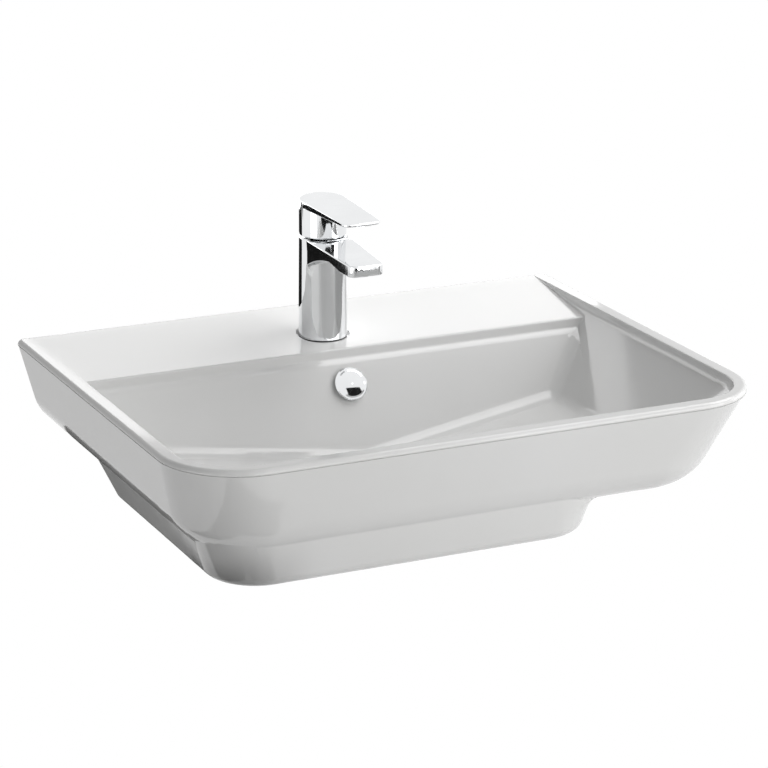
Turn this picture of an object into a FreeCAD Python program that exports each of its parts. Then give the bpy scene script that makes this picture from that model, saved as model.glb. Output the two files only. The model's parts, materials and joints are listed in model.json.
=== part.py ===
import FreeCAD, Part
import math
import os
import re
import Sketcher

# Semi recessed washbasin with its single-lever mixer, overflow and push-open waste.
# Frame: X to the right, Y back into the wall, Z up. The origin lies on the wall face,
# midway between the two wall fixing holes. All sizes are millimetres.

SIZES = {
    # ceramic body
    "overall_width": 600,
    "overall_depth": 470,
    "rim_height": 48,            # rim top above the fixing holes
    "tray_height": 98,           # rim top above the worktop
    "corner_radius": 77,
    "rim_end_radius": 7,
    "lip_height": 6,
    "lip_step": 1.5,
    "rim_width": 15.3,
    "flank_inset": 27.4,         # how far the front flank leans in down to the worktop
    "left_inset": 25,
    "right_inset": 31.5,
    "foot_corner": 94,           # right front corner of the tray's underside
    "tray_round": 47,
    "apron_depth": 31.3,         # how far the bowl body drops below the worktop
    "apron_left": 260.5,         # the bowl body's reach from the middle, at the worktop
    "apron_right": 134,
    "apron_flare": 30,           # radius of its right end's sweep into the worktop plane
    "apron_front": 435,
    "apron_back": 110,
    "apron_inset": 10.5,
    "apron_front_inset": 4,
    "apron_back_inset": 28,
    "apron_corner": 52,
    "apron_back_corner": 25,
    "apron_round": 12,
    # bowl
    "bowl_corner": 56,
    "bowl_lip": 8,
    "bowl_lean": 0.85,           # side and front walls, mm in per mm down
    "bowl_back_lean": 0.62,
    "bowl_back_corner": 16,
    "bowl_round": 24,
    "floor_height": -62,         # lowest line of the floor
    "floor_slope": 0.13,
    "deck_depth": 127,
    "deck_slope": 0.105,
    "deck_band": 9.5,
    "deck_nose_radius": 2,
    "ledge_reach": 10,
    "ledge_fall": 4.5,
    "wall_thickness": 12,
    "deck_thickness": 13,
    # openings of the ceramic
    "waste_back": 285,           # waste axis from the wall
    "waste_hole_radius": 23,
    "waste_recess_radius": 33,
    "waste_recess_depth": 4,
    "waste_boss_radius": 44,
    "waste_boss_depth": 13.7,    # boss and duct ridge below the apron
    "duct_width": 40,
    "duct_depth": 12,
    "duct_skin": 6,
    "overflow_height": 2.6,      # overflow axis above the fixing holes, at the wall face
    "overflow_hole_radius": 13,
    "cover_radius": 17.2,
    "tap_front": 44.7,           # mixer axis from the front edge of the deck
    "tap_hole_radius": 17.5,
    "landing_radius": 27.5,      # level seat for the mixer in the sloping deck
    "hollow_width": 444,
    "fixing_spacing": 280,
    "fixing_hole_radius": 7,
    # fits
    "close_fit": 0.05,           # radial, between pieces that slide or screw together
    "free_gap": 0.3,             # between pieces that only pass each other
    # waste
    "waste_seal": 2,
    "flange_radius": 31.5,
    "flange_height": 3,
    "tail_radius": 20.9,
    "tail_bore": 17.5,
    "tail_length": 58,
    "trap_length": 16,           # lower end of the tail, which the trap clamps
    "trap_step": 0.9,
    "backnut_height": 9,
    "plug_radius": 29,
    "plug_height": 3.5,
    "plug_lift": 7,
    "stem_radius": 4,
    "guide_length": 12,
    "spring_wire": 1,
    # mixer
    "mixer_foot_radius": 25,
    "mixer_radius": 24,
    "mixer_height": 106,
    "base_seal": 1,
    "shank_depth": 8,
    "shank_radius": 16.5,
    "cartridge_bore": 18,
    "cartridge_depth": 36,       # floor of the cartridge's well below the top of the mixer
    "nut_bore": 20,
    "nut_depth": 10,
    "spout_reach": 111,
    "spout_fall": 5,
    "spout_nose": 11.2,
    "spout_middle": 9.2,
    "spout_half_tip": 18.5,
    "outlet_reach": 95,
    "outlet_radius": 10.2,
    "outlet_depth": 7.5,
    "port_radius": 4.5,
    "port_offset": 7.5,
    "port_depth": 14,
    "stud_radius": 4,
    "stud_back": 9,
    "stud_length": 74,
    # cartridge and lever
    "pivot_rise": 3,             # lever pin above the top of the mixer
    "ball_drop": 20.5,           # the lever's ball below its pin
    "ball_radius": 2.4,
    "lever_travel": 20,          # degrees
    "neck_radius": 13.5,
    "swivel_radius": 11,
    "swivel_slot": 6.6,
    "pin_radius": 1.5,
    "disc_radius": 8.5,
    "disc_thickness": 3,
    "lever_gap": 1.2,
    "hub_bore": 21.5,
    "lever_rise": 39,            # rear edge of the lever's flat top above the mixer
    "lever_fall": 3.5,           # its front edge lies so much lower
    "lever_reach": 100,
    "lever_half_tip": 20.5,
    "lever_thin": 3,
    "lever_thick": 8,
    "stem_square": 8,
}


# places that follow from the sizes
FOLLOWS = {
    "tap_back": "(deck_depth - tap_front)",
    "cartridge_seat": "(mixer_height - cartridge_depth)",
    "pivot_height": "(mixer_height + pivot_rise)",
    "ball_height": "(mixer_height + pivot_rise - ball_drop)",
    "lever_top": "(mixer_height + lever_rise)",
}
WORD = r"[a-z][a-z_0-9]*"


def full(text):
    """The expression with what follows written out and every size read from the sheet."""
    written_out = re.sub(WORD, lambda m: FOLLOWS.get(m[0], m[0]), str(text))
    return re.sub(WORD, lambda m: "Sizes." + m[0] if m[0] in SIZES else m[0], written_out)


doc = FreeCAD.newDocument("semi_recessed_basin")
sheet = doc.addObject("Spreadsheet::Sheet", "Sizes")
for row, (alias, value) in enumerate(SIZES.items(), 1):
    sheet.set(f"A{row}", alias.replace("_", " "))
    sheet.set(f"B{row}", str(value))
    sheet.setAlias(f"B{row}", alias)
doc.recompute()


def number(text):
    """The value of an expression in millimetres."""
    return float(sheet.evalExpression(full(text)))


# --- sketch and feature helpers -------------------------------------------------------

def new_body(label, x="0", y="0", z="0"):
    body = doc.addObject("PartDesign::Body", label)
    body.Label = label
    for axis, text in zip("xyz", (x, y, z)):
        body.setExpression(f"Placement.Base.{axis}", full(text))
    return body


def new_sketch(body, name, role, lift="0"):
    sketch = body.newObject("Sketcher::SketchObject", name)
    support = next(item for item in body.Origin.OriginFeatures if item.Role == role)
    sketch.AttachmentSupport = [(support, "")]
    sketch.MapMode = "FlatFace"
    sketch.setExpression("AttachmentOffset.Base.z", full(lift))
    return sketch


def hold(sketch, kind, where, text):
    """Fix one coordinate of a point, or a radius, to an expression."""
    if kind != "Radius" and text == "0":
        axis = -2 if kind == "DistanceX" else -1
        sketch.addConstraint(Sketcher.Constraint("PointOnObject", *where, axis))
        return
    if kind == "Radius":
        index = sketch.addConstraint(Sketcher.Constraint(kind, *where, number(text)))
    else:
        index = sketch.addConstraint(Sketcher.Constraint(kind, -1, 1, *where, number(text)))
    sketch.setExpression(f"Constraints[{index}]", full(text))


def outline(sketch, knots):
    """A closed counter-clockwise outline. Each knot is (x, y) or, where an arc of that
    radius leads to the next knot, (x, y, radius), with "hollow" after it if the arc
    dips into the outline."""
    first = sketch.GeometryCount
    ends = [(2, 1) if len(knot) == 4 else (1, 2) for knot in knots]
    spots = [FreeCAD.Vector(number(knot[0]), number(knot[1]), 0) for knot in knots]
    for index, knot in enumerate(knots):
        here = spots[index]
        there = spots[(index + 1) % len(knots)]
        if len(knot) == 2:
            sketch.addGeometry(Part.LineSegment(here, there), False)
            continue
        radius = number(knot[2])
        along = there - here
        left = FreeCAD.Vector(-along.y, along.x, 0).normalize()
        if len(knot) == 4:
            left = -left
            here, there = there, here
        centre = (here + there) * 0.5 + left * math.sqrt(max(radius ** 2 - along.Length ** 2 / 4, 0))
        start = math.atan2(here.y - centre.y, here.x - centre.x)
        end = math.atan2(there.y - centre.y, there.x - centre.x)
        round_line = Part.Circle(centre, FreeCAD.Vector(0, 0, 1), radius)
        sketch.addGeometry(Part.ArcOfCircle(round_line, start, end), False)
    for index in range(len(knots)):
        follower = (index + 1) % len(knots)
        sketch.addConstraint(Sketcher.Constraint(
            "Coincident", first + index, ends[index][1], first + follower, ends[follower][0]))
    for index, knot in enumerate(knots):
        hold(sketch, "DistanceX", (first + index, ends[index][0]), knot[0])
        hold(sketch, "DistanceY", (first + index, ends[index][0]), knot[1])
        if len(knot) > 2:
            hold(sketch, "Radius", (first + index,), knot[2])


def circle(sketch, radius, x="0", y="0"):
    spot = FreeCAD.Vector(number(x), number(y), 0)
    index = sketch.addGeometry(Part.Circle(spot, FreeCAD.Vector(0, 0, 1), number(radius)), False)
    hold(sketch, "Radius", (index,), radius)
    hold(sketch, "DistanceX", (index, 3), x)
    hold(sketch, "DistanceY", (index, 3), y)


def extrude(body, kind, sketch, length, both_ways=False, reverse=False):
    feature = body.newObject("PartDesign::" + kind, sketch.Name + "_" + kind.lower())
    feature.Profile = sketch
    feature.SideType = "Symmetric" if both_ways else "One side"
    feature.Reversed = reverse
    feature.setExpression("Length", full(length))
    doc.recompute()
    return feature


def loft(body, kind, high, low):
    """A straight-sided solid from the upper outline down to the lower one."""
    feature = body.newObject("PartDesign::" + kind, low.Name + "_loft")
    feature.Profile = high
    feature.Sections = [low]
    doc.recompute()
    return feature


def turn(body, kind, name, knots):
    """A turned shape about the body's own Z axis, from its outline in (radius, height)."""
    sketch = new_sketch(body, name, "XZ_Plane")
    outline(sketch, knots)
    feature = body.newObject("PartDesign::" + kind, name + "_turn")
    feature.Profile = sketch
    feature.ReferenceAxis = (sketch, ["V_Axis"])
    feature.Angle = 360
    doc.recompute()
    return feature


def step_outline(inner, outer, low, high):
    return [(inner, low), (outer, low), (outer, high), (inner, high)]


def dome_radius(across, rise):
    """Radius of an arc that is level where it meets the axis."""
    return f"((({across}) ^ 2 + ({rise}) ^ 2) / (2 * ({rise})))"


def hole(body, name, radius, start, depth, x="0", y="0"):
    """A round hole along Z that starts at a height and goes down by its depth."""
    sketch = new_sketch(body, name, "XY_Plane", start)
    circle(sketch, radius, x, y)
    return extrude(body, "Pocket", sketch, depth)


def fillet(body, name, radius, rule):
    """Round the edges of the body so far that the rule picks by their middle points."""
    base = body.Tip
    names = []
    for index, edge in enumerate(base.Shape.Edges, 1):
        if rule(edge.valueAt((edge.FirstParameter + edge.LastParameter) / 2)):
            names.append(f"Edge{index}")
    feature = body.newObject("PartDesign::Fillet", name)
    feature.Base = (base, names)
    feature.setExpression("Radius", full(radius))
    doc.recompute()
    return feature


def near(value, text, margin=0.5):
    return abs(value - number(text)) < margin


def front_rounded(half_width, depth, radius, back="0"):
    """A rectangle against the wall with its two front corners rounded."""
    return [
        (f"-({half_width})", f"-({depth}) + {radius}", radius),
        (f"-({half_width}) + {radius}", f"-({depth})"),
        (f"{half_width} - {radius}", f"-({depth})", radius),
        (half_width, f"-({depth}) + {radius}"),
        (half_width, back),
        (f"-({half_width})", back),
    ]


def rounded_all(left, right, front, back, front_radius, back_radius, right_radius=None):
    """A rectangle, given by its reach each way, with all four corners rounded."""
    right_radius = right_radius or front_radius
    return [
        (f"-({left})", f"-({front}) + {front_radius}", front_radius),
        (f"-({left}) + {front_radius}", f"-({front})"),
        (f"{right} - {right_radius}", f"-({front})", right_radius),
        (right, f"-({front}) + {right_radius}"),
        (right, f"-({back}) - {back_radius}", back_radius),
        (f"{right} - {back_radius}", f"-({back})"),
        (f"-({left}) + {back_radius}", f"-({back})", back_radius),
        (f"-({left})", f"-({back}) - {back_radius}"),
    ]


# --- ceramic basin --------------------------------------------------------------------

WORKTOP = "(rim_height - tray_height)"
APRON_FOOT = "(rim_height - tray_height - apron_depth)"
LIP_FOOT = "(rim_height - lip_height)"
OPENING = "(overall_width / 2 - rim_width)"
OPENING_DEPTH = "(overall_depth - rim_width)"
BOWL_DROP = "(bowl_lean * (rim_height - bowl_lip - floor_height))"
DECK_FRONT = "(rim_height - deck_slope * deck_depth)"
LEDGE = f"({DECK_FRONT} - deck_band - ledge_fall)"
WALL_TOP_Y = "(deck_depth + ledge_reach)"
FLOOR_SIDE = "(floor_height + floor_slope * overall_width / 2)"
BOSS_FOOT = f"({APRON_FOOT} - waste_boss_depth)"
DUCT_FLOOR = f"({BOSS_FOOT} + duct_skin)"
DUCT_ROOF = f"({BOSS_FOOT} + duct_skin + duct_depth * 0.75)"
DUCT_TOP = "(overflow_height + overflow_hole_radius)"
SLANT = "sqrt(1 + bowl_back_lean ^ 2)"
DUCT_FRONT = f"(wall_thickness * {SLANT})"
DUCT_BACK = f"((wall_thickness + duct_depth) * {SLANT})"
HOLLOW_FRONT = f"((wall_thickness + duct_depth + duct_skin) * {SLANT})"
LANDING = "(rim_height - deck_slope * (tap_back + landing_radius))"
ROOF = f"({LANDING} - deck_thickness)"


def wall_line(height, behind="0"):
    """Y of a line parallel to the back wall of the bowl, at a height, so far behind it."""
    return f"(-({WALL_TOP_Y} + bowl_back_lean * ({LEDGE} - ({height}))) + {behind})"


shell = new_body("basin_shell")
TRAY_REACH = "(overall_width / 2 - lip_step)"
FOOT_FRONT = "(lip_step + flank_inset - overall_depth)"
foot = new_sketch(shell, "tray_foot", "XY_Plane", WORKTOP)
outline(foot, [
    (f"-({TRAY_REACH} - left_inset)", f"{FOOT_FRONT} + corner_radius", "corner_radius"),
    (f"-({TRAY_REACH} - left_inset) + corner_radius", FOOT_FRONT),
    (f"{TRAY_REACH} - right_inset - foot_corner", FOOT_FRONT, "foot_corner"),
    (f"{TRAY_REACH} - right_inset", f"{FOOT_FRONT} + foot_corner"),
    (f"{TRAY_REACH} - right_inset", "wall_thickness"),
    (f"-({TRAY_REACH} - left_inset)", "wall_thickness"),
])
shoulder = new_sketch(shell, "tray_shoulder", "XY_Plane", LIP_FOOT)
outline(shoulder, front_rounded(TRAY_REACH, "overall_depth - lip_step", "corner_radius", "wall_thickness"))
loft(shell, "AdditiveLoft", shoulder, foot)
fillet(shell, "tray_rounding", "tray_round", lambda at: near(at.z, WORKTOP) and at.y < 0)
lip = new_sketch(shell, "lip", "XY_Plane", LIP_FOOT)
outline(lip, rounded_all("overall_width / 2", "overall_width / 2", "overall_depth", "0",
                         "(corner_radius + lip_step)", "rim_end_radius"))
extrude(shell, "Pad", lip, "lip_height")
behind_wall = new_sketch(shell, "behind_wall", "YZ_Plane")
outline(behind_wall, [
    ("0", f"{WORKTOP} * 2"),
    ("wall_thickness * 2", f"{WORKTOP} * 2"),
    ("wall_thickness * 2", LIP_FOOT),
    ("0", LIP_FOOT),
])
extrude(shell, "Pocket", behind_wall, "overall_width * 1.2", both_ways=True)

# the bowl body hangs under the left and the middle of the tray; its flanks run up into the
# tray, and its right end sweeps out into the worktop plane
def apron_outline(name, height, right, right_radius):
    """The bowl body's outline at a height; all but its right end lean in straight."""
    down = f"((rim_height - tray_height - ({height})) / apron_depth)"
    section = new_sketch(shell, name, "XY_Plane", height)
    outline(section, rounded_all(
        f"(apron_left - apron_inset * {down})", right, f"(apron_front - apron_front_inset * {down})",
        f"(apron_back + apron_back_inset * {down})", "apron_corner", "apron_back_corner", right_radius))
    return section


def flare_outline(name, turned):
    """The outline where the right end's sweep has turned so far from upright, in degrees."""
    out = f"(apron_flare * (1 - cos({turned}deg)))"
    height = f"({WORKTOP} - apron_flare * (1 - sin({turned}deg)))"
    return apron_outline(name, height, f"(apron_right + {out})", f"(apron_corner + {out})")


FLARE_START = 25
low = apron_outline("apron_foot", APRON_FOOT, "(apron_right - apron_inset / 2)",
                    "(apron_corner - apron_inset / 2)")
for turned in (FLARE_START, 45, 65, 90):
    high = flare_outline(f"apron_at_{turned}", turned)
    loft(shell, "AdditiveLoft", high, low)
    if turned == FLARE_START:
        fillet(shell, "apron_rounding", "apron_round", lambda at: near(at.z, APRON_FOOT))
    low = high
apron_head = apron_outline("apron_head", WORKTOP + " + apron_depth / 2", "(apron_right + apron_flare)",
                           "(apron_corner + apron_flare)")
loft(shell, "AdditiveLoft", apron_head, low)
# waste boss, and the ridge that holds the lower run of the overflow duct
boss = new_sketch(shell, "waste_boss", "XY_Plane", BOSS_FOOT)
circle(boss, "waste_boss_radius", "0", "-waste_back")
extrude(shell, "Pad", boss, "waste_boss_depth * 1.5")
ridge = new_sketch(shell, "duct_ridge", "XY_Plane", BOSS_FOOT)
RIDGE_BACK = wall_line(DUCT_FLOOR, HOLLOW_FRONT)
outline(ridge, [
    ("-duct_width / 2 - duct_skin", "-waste_back"),
    ("duct_width / 2 + duct_skin", "-waste_back"),
    ("duct_width / 2 + duct_skin", RIDGE_BACK),
    ("-duct_width / 2 - duct_skin", RIDGE_BACK),
])
extrude(shell, "Pad", ridge, "waste_boss_depth * 1.5")

duct = new_sketch(shell, "overflow_duct", "YZ_Plane")
outline(duct, [
    (wall_line(DUCT_TOP, DUCT_BACK), DUCT_TOP),
    (wall_line(DUCT_TOP, DUCT_FRONT), DUCT_TOP),
    (wall_line(DUCT_ROOF, DUCT_FRONT), DUCT_ROOF),
    ("-waste_back", DUCT_ROOF),
    ("-waste_back", DUCT_FLOOR),
    (wall_line(DUCT_FLOOR, DUCT_BACK), DUCT_FLOOR),
])
extrude(shell, "Pocket", duct, "duct_width", both_ways=True)

# hollow under the deck, open to the worktop, for the mixer's stud and hoses
hollow = new_sketch(shell, "deck_hollow", "YZ_Plane")
outline(hollow, [
    ("-wall_thickness", f"{WORKTOP} - 1"),
    ("-wall_thickness", ROOF),
    (wall_line(DUCT_TOP, HOLLOW_FRONT), ROOF),
    (wall_line(DUCT_TOP, HOLLOW_FRONT), DUCT_TOP),
    (wall_line(f"{WORKTOP} / 2", HOLLOW_FRONT), f"{WORKTOP} / 2"),
    ("-apron_back + wall_thickness", f"{WORKTOP} - 1"),
])
extrude(shell, "Pocket", hollow, "hollow_width", both_ways=True)
RECESS_FLOOR = "(floor_height - waste_recess_depth)"
hole(shell, "waste_recess", "waste_recess_radius", "rim_height", f"rim_height - {RECESS_FLOOR}",
     "0", "-waste_back")
hole(shell, "waste_bore", "waste_hole_radius", "rim_height", "rim_height * 4", "0", "-waste_back")
hole(shell, "tap_landing", "landing_radius", "rim_height + 2", f"rim_height + 2 - {LANDING}",
     "0", "-tap_back")
hole(shell, "tap_hole", "tap_hole_radius", "rim_height + 2", "rim_height", "0", "-tap_back")
fixing_holes = new_sketch(shell, "fixing_holes", "XZ_Plane")
circle(fixing_holes, "fixing_hole_radius", "-fixing_spacing / 2")
circle(fixing_holes, "fixing_hole_radius", "fixing_spacing / 2")
extrude(shell, "Pocket", fixing_holes, "wall_thickness * 3", both_ways=True)

# the hollow of the bowl and the space over the deck, as one solid to cut away
bowl = new_body("bowl_space")
mouth = new_sketch(bowl, "mouth", "XY_Plane", "rim_height - bowl_lip")
outline(mouth, front_rounded(OPENING, OPENING_DEPTH, "bowl_corner", "rim_width"))
extrude(bowl, "Pad", mouth, "bowl_lip * 2")
base = new_sketch(bowl, "bowl_base", "XY_Plane", "floor_height")
outline(base, front_rounded(f"{OPENING} - {BOWL_DROP}", f"{OPENING_DEPTH} - {BOWL_DROP}",
                            "bowl_corner", "rim_width"))
loft(bowl, "AdditiveLoft", mouth, base)
fillet(bowl, "lip_softening", "bowl_lip * 2",
       lambda at: near(at.z, "rim_height - bowl_lip") and at.y < 0)

# deck, its front band, the small ledge and the sloping back wall of the bowl
back_block = new_sketch(bowl, "back_block", "YZ_Plane")
outline(back_block, [
    ("rim_width * 2", "rim_height + deck_slope * rim_width * 2"),
    ("rim_width * 2", "floor_height * 2"),
    (f"-{WALL_TOP_Y} - bowl_back_lean * ({LEDGE} - floor_height * 2)", "floor_height * 2"),
    (f"-{WALL_TOP_Y}", LEDGE),
    ("-deck_depth - 1", f"{DECK_FRONT} - deck_band"),
    ("-deck_depth", DECK_FRONT),
])
extrude(bowl, "Pocket", back_block, "overall_width * 1.2", both_ways=True)
floor_block = new_sketch(bowl, "floor_block", "XZ_Plane")
outline(floor_block, [
    ("0", "floor_height"),
    ("-overall_width / 2", FLOOR_SIDE),
    ("-overall_width / 2", "floor_height * 2"),
    ("overall_width / 2", "floor_height * 2"),
    ("overall_width / 2", FLOOR_SIDE),
])
extrude(bowl, "Pocket", floor_block, "overall_depth * 2.2", both_ways=True)


def on_floor_edge(at):
    return abs(at.x) > 5 and abs(at.z - number("floor_height") - number("floor_slope") * abs(at.x)) < 1.2


def on_back_corner(at):
    behind = number(wall_line(f"{at.z:.6f}"))
    return abs(at.x) > 5 and at.z < number(LEDGE) - 1 and abs(at.y - behind) < 1.2


fillet(bowl, "back_corners", "bowl_back_corner",
       lambda at: on_back_corner(at) and not on_floor_edge(at))
fillet(bowl, "floor_rounding", "bowl_round", on_floor_edge)
fillet(bowl, "deck_nose", "deck_nose_radius",
       lambda at: abs(at.x) < 1 and near(at.z, DECK_FRONT) and near(-at.y, "deck_depth"))

overflow_bore = doc.addObject("Part::Cylinder", "overflow_bore")
overflow_bore.setExpression("Radius", full("overflow_hole_radius"))
overflow_bore.setExpression("Height", full("wall_thickness + duct_depth / 2"))
hollowed = doc.addObject("Part::Cut", "hollowed_shell")
hollowed.Base = shell
hollowed.Tool = bowl.Tip
basin = doc.addObject("Part::Cut", "basin")
basin.Label = "basin"
basin.Base = hollowed
basin.Tool = overflow_bore


def lay_on_back_wall(item, tilt):
    """Stand an object's Z axis square to the back wall of the bowl, at the overflow."""
    item.setExpression("Placement.Base.y", full(wall_line("overflow_height")))
    item.setExpression("Placement.Base.z", full("overflow_height"))
    item.Placement.Rotation = FreeCAD.Rotation(FreeCAD.Vector(1, 0, 0), 90)
    item.setExpression("Placement.Rotation.Angle", full(tilt))


lay_on_back_wall(overflow_bore, "-90 - atan(bowl_back_lean) / 1deg")

# --- overflow fittings ----------------------------------------------------------------

SLEEVE_INNER = "(overflow_hole_radius - close_fit - 1.8)"
sleeve = new_body("overflow_sleeve")
turn(sleeve, "Revolution", "sleeve_section", [
    (SLEEVE_INNER, "-wall_thickness"),
    ("overflow_hole_radius - close_fit", "-wall_thickness"),
    ("overflow_hole_radius - close_fit", "0"),
    ("overflow_hole_radius + 2.5", "0"),
    ("overflow_hole_radius + 2.5", "1.2"),
    (SLEEVE_INNER, "1.2"),
])
bridge = new_sketch(sleeve, "sleeve_bridge", "XY_Plane", "-wall_thickness")
outline(bridge, [
    (f"-{SLEEVE_INNER} - 0.9", "-3.5"),
    (f"{SLEEVE_INNER} + 0.9", "-3.5"),
    (f"{SLEEVE_INNER} + 0.9", "3.5"),
    (f"-{SLEEVE_INNER} - 0.9", "3.5"),
])
extrude(sleeve, "Pad", bridge, "wall_thickness / 2")
hole(sleeve, "clip_hole", "2 + close_fit", "0", "wall_thickness * 2")
lay_on_back_wall(sleeve, "90 - atan(bowl_back_lean) / 1deg")

cover = new_body("overflow_cover")
turn(cover, "Revolution", "cover_section", [
    ("0", "-wall_thickness - 1"),
    ("2", "-wall_thickness - 1"),
    ("2", "3"),
    ("cover_radius - 1.5", "3"),
    ("cover_radius", "3.6"),
    ("cover_radius", "4.4"),
    ("cover_radius - 1", "5.2"),
    ("cover_radius - 2.5", "5.2"),
    ("cover_radius - 4", "5.8", dome_radius("cover_radius - 4", "0.8")),
    ("0", "6.6"),
])
lay_on_back_wall(cover, "90 - atan(bowl_back_lean) / 1deg")

# --- waste, from the axis and the floor of its recess ---------------------------------

def waste_body(label):
    return new_body(label, "0", "-waste_back", RECESS_FLOOR)


BOSS_UNDER = f"({BOSS_FOOT} - {RECESS_FLOOR})"
FLANGE_TOP = "(waste_seal + flange_height)"

top_seal = waste_body("waste_top_seal")
turn(top_seal, "Revolution", "top_seal_section",
     step_outline("tail_radius + free_gap", "flange_radius - 0.5", "0", "waste_seal"))

waste = waste_body("waste_body")
turn(waste, "Revolution", "waste_section", [
    ("tail_bore", "-tail_length"),
    ("tail_radius - trap_step", "-tail_length"),
    ("tail_radius - trap_step", "-tail_length + trap_length"),
    ("tail_radius", "-tail_length + trap_length"),
    ("tail_radius", "waste_seal"),
    ("flange_radius", "waste_seal"),
    ("flange_radius", f"{FLANGE_TOP} - flange_height / 2", "flange_height / 2"),
    ("flange_radius - flange_height / 2", FLANGE_TOP),
    ("tail_bore + 4", FLANGE_TOP),
    ("tail_bore", f"{FLANGE_TOP} - 4"),
])
windows = new_sketch(waste, "overflow_windows", "XZ_Plane")
outline(windows, [
    ("-tail_bore / 2", f"{DUCT_FLOOR} - {RECESS_FLOOR}"),
    ("tail_bore / 2", f"{DUCT_FLOOR} - {RECESS_FLOOR}"),
    ("tail_bore / 2", f"{DUCT_ROOF} - {RECESS_FLOOR}"),
    ("-tail_bore / 2", f"{DUCT_ROOF} - {RECESS_FLOOR}"),
])
extrude(waste, "Pocket", windows, "tail_radius * 3", both_ways=True)

bottom_seal = waste_body("waste_bottom_seal")
turn(bottom_seal, "Revolution", "bottom_seal_section",
     step_outline("tail_radius + free_gap", "flange_radius", f"{BOSS_UNDER} - waste_seal * 1.5", BOSS_UNDER))

BACKNUT_TOP = f"({BOSS_UNDER} - waste_seal * 1.5)"
backnut = waste_body("waste_backnut")
turn(backnut, "Revolution", "backnut_washer",
     step_outline("tail_radius + close_fit", "flange_radius", f"{BACKNUT_TOP} - 2", BACKNUT_TOP))
HEX = "(tail_radius + 5.6)"


def hexagon(sketch, corner, x="0", y="0"):
    """A regular six-sided outline with its corners at a radius, two of them along X."""
    half = f"({corner}) / 2"
    side = f"({corner}) * sqrt(3) / 2"
    outline(sketch, [
        (f"{x} - {half}", f"{y} - {side}"),
        (f"{x} + {half}", f"{y} - {side}"),
        (f"{x} + ({corner})", y),
        (f"{x} + {half}", f"{y} + {side}"),
        (f"{x} - {half}", f"{y} + {side}"),
        (f"{x} - ({corner})", y),
    ])


backnut_flats = new_sketch(backnut, "backnut_flats", "XY_Plane", f"{BACKNUT_TOP} - backnut_height")
hexagon(backnut_flats, HEX)
extrude(backnut, "Pad", backnut_flats, "backnut_height - 1")
hole(backnut, "backnut_thread", "tail_radius + close_fit", BACKNUT_TOP, "backnut_height * 2")

# click housing: a ring in the tail, three ribs and a guide tube for the stem
HOUSING_TOP = f"({BOSS_UNDER} - 2)"
housing = waste_body("plug_housing")
turn(housing, "Revolution", "housing_ring", step_outline(
    "tail_bore - 2", "tail_bore - close_fit", f"{HOUSING_TOP} - guide_length", HOUSING_TOP))
GUIDE_OUTER = "(stem_radius + 3)"
rib = new_sketch(housing, "housing_ribs", "XY_Plane", f"{HOUSING_TOP} - guide_length")
outline(rib, [
    ("0", "-1"),
    ("tail_bore - 1", "-1"),
    ("tail_bore - 1", "1"),
    ("0", "1"),
])
rib_pad = extrude(housing, "Pad", rib, "guide_length - 4")
ribs = housing.newObject("PartDesign::PolarPattern", "three_ribs")
ribs.Originals = [rib_pad]
ribs.Axis = (rib, ["N_Axis"])
ribs.Angle = 360
ribs.Occurrences = 3
housing.Tip = ribs
guide = new_sketch(housing, "guide_tube", "XY_Plane", f"{HOUSING_TOP} - guide_length")
circle(guide, GUIDE_OUTER)
extrude(housing, "Pad", guide, "guide_length")
hole(housing, "guide_bore", "stem_radius + close_fit", HOUSING_TOP, "guide_length * 2")

# plug: mushroom cap on a stem, its seal, and the collar that keeps it in the guide
PLUG_SEAT = f"({FLANGE_TOP} + 0.5)"
plug = waste_body("waste_plug")
turn(plug, "Revolution", "plug_section", [
    ("0", f"{FLANGE_TOP} - 3"),
    ("tail_bore - 4", f"{FLANGE_TOP} - 3"),
    ("tail_bore - 4", PLUG_SEAT),
    ("plug_radius - 1", PLUG_SEAT),
    ("plug_radius", f"{PLUG_SEAT} + 1"),
    ("plug_radius - 3", f"{PLUG_SEAT} + plug_height - 0.5", dome_radius("plug_radius - 3", "1.5")),
    ("0", f"{PLUG_SEAT} + plug_height + 1"),
])
hole(plug, "plug_thread", "stem_radius / 2 + close_fit", f"{FLANGE_TOP} - 1", "9")

plug_seal = waste_body("plug_seal")
turn(plug_seal, "Revolution", "plug_seal_section", [
    ("tail_bore - 4", f"{FLANGE_TOP} - 2.6"),
    ("tail_bore + 0.9", f"{FLANGE_TOP} - 2.6"),
    ("tail_bore + 3.4", FLANGE_TOP),
    ("tail_bore + 3.4", PLUG_SEAT),
    ("tail_bore - 4", PLUG_SEAT),
])

STEM_FOOT = f"({HOUSING_TOP} - guide_length - plug_lift - 2.5)"
stem = waste_body("plug_stem")
turn(stem, "Revolution", "plug_stem_section", [
    ("0", STEM_FOOT),
    ("stem_radius + 1.5", STEM_FOOT),
    ("stem_radius + 1.5", f"{STEM_FOOT} + 2"),
    ("stem_radius", f"{STEM_FOOT} + 2"),
    ("stem_radius", f"{FLANGE_TOP} - 3"),
    ("stem_radius / 2", f"{FLANGE_TOP} - 3"),
    ("stem_radius / 2", f"{FLANGE_TOP} - 1.4"),
    ("0", f"{FLANGE_TOP} - 1.4"),
])

spring = waste_body("plug_spring")
wire = new_sketch(spring, "spring_wire", "XZ_Plane")
circle(wire, "spring_wire / 2", "stem_radius + free_gap + spring_wire / 2",
       f"{HOUSING_TOP} + spring_wire / 2 + 0.02")
coil = spring.newObject("PartDesign::AdditiveHelix", "spring_coil")
coil.Profile = wire
coil.ReferenceAxis = (wire, ["V_Axis"])
coil.Mode = "height-turns-growth"
coil.setExpression("Height", full(f"{FLANGE_TOP} - 3 - {HOUSING_TOP} - spring_wire - 0.04"))
coil.Turns = 6

# --- mixer, from its axis and its level landing ---------------------------------------

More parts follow.
